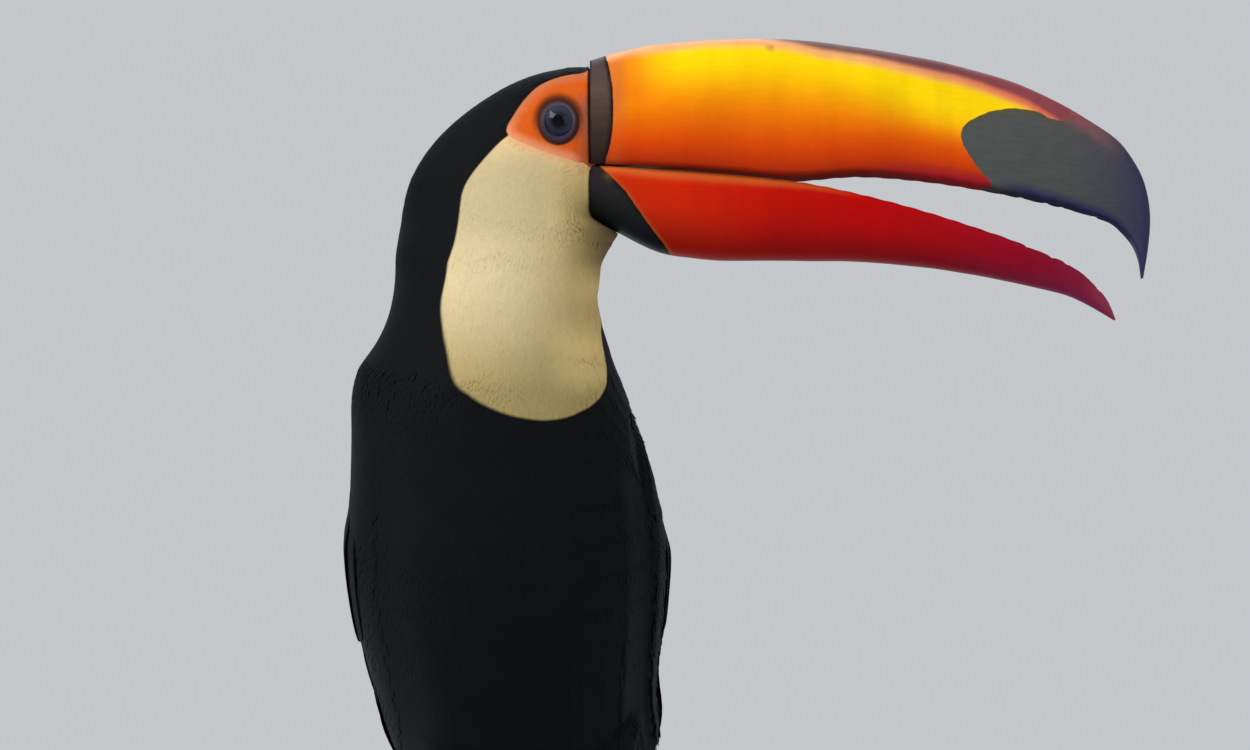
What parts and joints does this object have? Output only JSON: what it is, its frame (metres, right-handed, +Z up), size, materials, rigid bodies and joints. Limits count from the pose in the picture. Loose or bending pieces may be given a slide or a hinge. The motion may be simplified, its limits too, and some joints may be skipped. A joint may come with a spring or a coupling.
{
  "type": "toco toucan display model on a perch",
  "caption": "Life-size toucan gripping a short cut branch, head turned in profile with the long bill open, on a round base with two rods.",
  "frame": {"origin": "centre of the round base's underside", "axes": "+Z up; the bill points along +X in profile, the breast faces 10 degrees from -Y towards +X, and the tail hangs towards +Y"},
  "size_m": [0.3424, 0.242, 0.4715],
  "materials": {
    "plumage_cream": "matte",
    "plumage_black": "matte",
    "plumage_white": "matte",
    "plumage_red": "matte",
    "bare_skin": "satin",
    "leg_skin": "satin",
    "claw_horn": "satin",
    "eye": "gloss",
    "bill_upper_horn": "satin",
    "bill_lower_horn": "satin",
    "bark": "matte",
    "stand_wood": "satin",
    "stand_steel": "satin"
  },
  "bodies": {
    "root": {"head": "plumage_cream", "neck": "plumage_cream", "trunk": "plumage_black", "wing_left": "plumage_black", "wing_right": "plumage_black", "tail": "plumage_black", "thigh_left": "plumage_black", "thigh_right": "plumage_black", "foot_left": "leg_skin", "foot_right": "leg_skin", "eye_left": "eye", "eye_right": "eye", "bill_upper": "bill_upper_horn", "bill_lower": "bill_lower_horn", "perch": "bark", "stand_base": "stand_wood", "stand_rod_left": "stand_steel", "stand_rod_right": "stand_steel"}
  },
  "joints": []
}
